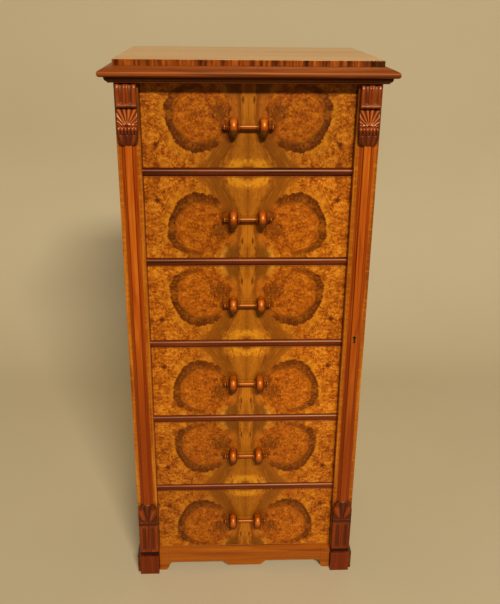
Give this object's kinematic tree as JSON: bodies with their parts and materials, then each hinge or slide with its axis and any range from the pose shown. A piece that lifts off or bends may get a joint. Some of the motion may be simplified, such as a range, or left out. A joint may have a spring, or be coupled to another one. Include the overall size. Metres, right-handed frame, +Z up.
{
  "type": "wellington chest",
  "caption": "Tall narrow chest of equal drawers between two pilasters, the right one a hinged locking stile; moulded cornice, bracketed plinth, turned wooden pulls.",
  "frame": {"origin": "on the floor, under the middle of the chest's overall width and depth", "axes": "+Z up, +X to the chest's right as seen from the front, +Y to its back, so the drawers open along -Y"},
  "size_m": [0.57, 0.414, 1.22],
  "materials": {
    "burr_walnut": "book-matched burr walnut veneer, french polished",
    "figured_walnut": "straight-grained walnut veneer, french polished",
    "carved_walnut": "carved and moulded walnut, polished, darker in the hollows",
    "dark_walnut": "moulded walnut, polished dark reddish brown",
    "turned_walnut": "turned walnut, polished",
    "drawer_lining": "plain planed mahogany, waxed",
    "pine": "unfinished planed pine, aged",
    "brass": "aged brass",
    "steel": "dull steel"
  },
  "bodies": {
    "carcase": {"apron": "dark_walnut", "back_boards": "pine", "carcase_bottom": "pine", "carcase_screws": "steel", "carcase_top": "pine", "corbel_left": "carved_walnut", "cornice_front": "dark_walnut", "cornice_left": "dark_walnut", "cornice_right": "dark_walnut", "divider_1": "dark_walnut", "divider_2": "dark_walnut", "divider_3": "dark_walnut", "divider_4": "dark_walnut", "divider_5": "dark_walnut", "drawer_guides": "pine", "drawer_runners": "pine", "foot_left": "carved_walnut", "hinge_leaves_fixed": "brass", "hinge_pins": "steel", "link_plate": "brass", "moulding_left": "carved_walnut", "plinth_block_left": "dark_walnut", "plinth_block_right": "dark_walnut", "plinth_brackets": "dark_walnut", "plinth_left": "dark_walnut", "plinth_right": "dark_walnut", "post_left": "pine", "post_right": "pine", "side_left": "figured_walnut", "side_right": "figured_walnut", "stile_left": "figured_walnut", "top_board": "figured_walnut", "top_rail": "pine"},
    "stile": {"corbel_right": "carved_walnut", "escutcheon": "brass", "foot_right": "carved_walnut", "hinge_leaves_moving": "brass", "lock_case": "steel", "locking_stile": "figured_walnut", "moulding_right": "carved_walnut", "stile_screws": "steel"},
    "bolt": {"lock_bolt": "steel"},
    "drawer_1": {"drawer_1_box": "drawer_lining", "drawer_1_front": "burr_walnut", "drawer_1_pull": "turned_walnut"},
    "drawer_2": {"drawer_2_box": "drawer_lining", "drawer_2_front": "burr_walnut", "drawer_2_pull": "turned_walnut"},
    "drawer_3": {"drawer_3_box": "drawer_lining", "drawer_3_front": "burr_walnut", "drawer_3_pull": "turned_walnut"},
    "drawer_4": {"drawer_4_box": "drawer_lining", "drawer_4_front": "burr_walnut", "drawer_4_pull": "turned_walnut"},
    "drawer_5": {"drawer_5_box": "drawer_lining", "drawer_5_front": "burr_walnut", "drawer_5_pull": "turned_walnut"},
    "drawer_6": {"drawer_6_box": "drawer_lining", "drawer_6_front": "burr_walnut", "drawer_6_pull": "turned_walnut"}
  },
  "joints": [
    {"name": "stile_hinge", "type": "hinge", "parent": "carcase", "child": "stile", "pos_m": [0.2595, -0.1572, 0.616], "axis": [0, 0, 1], "range_deg": [0, 170]},
    {"name": "bolt_slide", "type": "slide", "parent": "stile", "child": "bolt", "axis": [-1, 0, 0], "range_m": [0, 0.007]},
    {"name": "drawer_1_slide", "type": "slide", "parent": "carcase", "child": "drawer_1", "axis": [0, -1, 0], "range_m": [0, 0.28]},
    {"name": "drawer_2_slide", "type": "slide", "parent": "carcase", "child": "drawer_2", "axis": [0, -1, 0], "range_m": [0, 0.28]},
    {"name": "drawer_3_slide", "type": "slide", "parent": "carcase", "child": "drawer_3", "axis": [0, -1, 0], "range_m": [0, 0.28]},
    {"name": "drawer_4_slide", "type": "slide", "parent": "carcase", "child": "drawer_4", "axis": [0, -1, 0], "range_m": [0, 0.28]},
    {"name": "drawer_5_slide", "type": "slide", "parent": "carcase", "child": "drawer_5", "axis": [0, -1, 0], "range_m": [0, 0.28]},
    {"name": "drawer_6_slide", "type": "slide", "parent": "carcase", "child": "drawer_6", "axis": [0, -1, 0], "range_m": [0, 0.28]}
  ]
}
